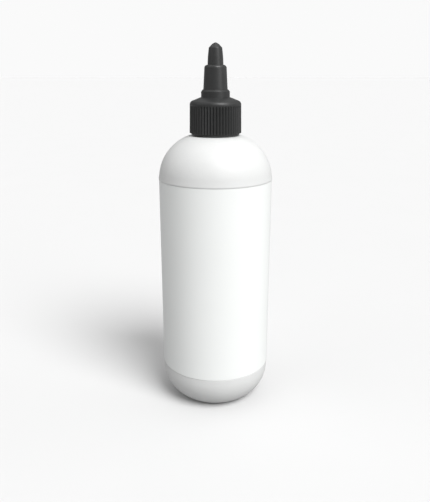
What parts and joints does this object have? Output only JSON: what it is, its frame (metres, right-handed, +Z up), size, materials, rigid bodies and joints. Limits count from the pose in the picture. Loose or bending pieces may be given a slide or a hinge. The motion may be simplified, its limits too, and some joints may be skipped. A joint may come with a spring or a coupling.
{
  "type": "shampoo bottle",
  "caption": "White round squeeze bottle with a domed shoulder, rounded heel and blank wrap label, closed by a black ribbed screw cap with a twist-open spout.",
  "frame": {"origin": "centre of the ring that the bottle stands on, on the surface under it", "axes": "+Z up along the bottle's axis to the spout's tip; +X to the right and -Y to the front, where the blank label faces the viewer; the neck thread starts at +X"},
  "size_m": [0.0614, 0.0614, 0.1968],
  "materials": {
    "bottle_plastic": "white polyethylene, satin, slightly translucent",
    "label_film": "blank white film label, smooth satin",
    "liner_foam": "white polyethylene foam",
    "cap_plastic": "black polypropylene, fine matte texture",
    "seal_rubber": "soft grey rubber",
    "spout_plastic": "black polypropylene, matte with a soft highlight"
  },
  "bodies": {
    "bottle": {"bottle": "bottle_plastic", "label": "label_film"},
    "liner": {"cap_liner": "liner_foam"},
    "cap": {"cap_base": "cap_plastic"},
    "seal": {"spout_seal": "seal_rubber"},
    "spout": {"spout": "spout_plastic"}
  },
  "joints": [
    {"name": "cap_rise", "type": "slide", "parent": "bottle", "child": "liner", "axis": [0, 0, 1], "range_m": [0, 0.00476]},
    {"name": "cap_turn", "type": "hinge", "parent": "liner", "child": "cap", "pos_m": [0, 0, 0.16], "axis": [0, 0, 1], "range_deg": [0, 540]},
    {"name": "spout_rise", "type": "slide", "parent": "cap", "child": "seal", "axis": [0, 0, 1], "range_m": [0, 0.004]},
    {"name": "spout_turn", "type": "hinge", "parent": "seal", "child": "spout", "pos_m": [0, 0, 0.18], "axis": [0, 0, 1], "range_deg": [0, 180]}
  ],
  "couplings": [
    {"joint": "cap_turn", "follows": "cap_rise", "rad_per_m": 1979},
    {"joint": "spout_turn", "follows": "spout_rise", "rad_per_m": 785.4}
  ]
}
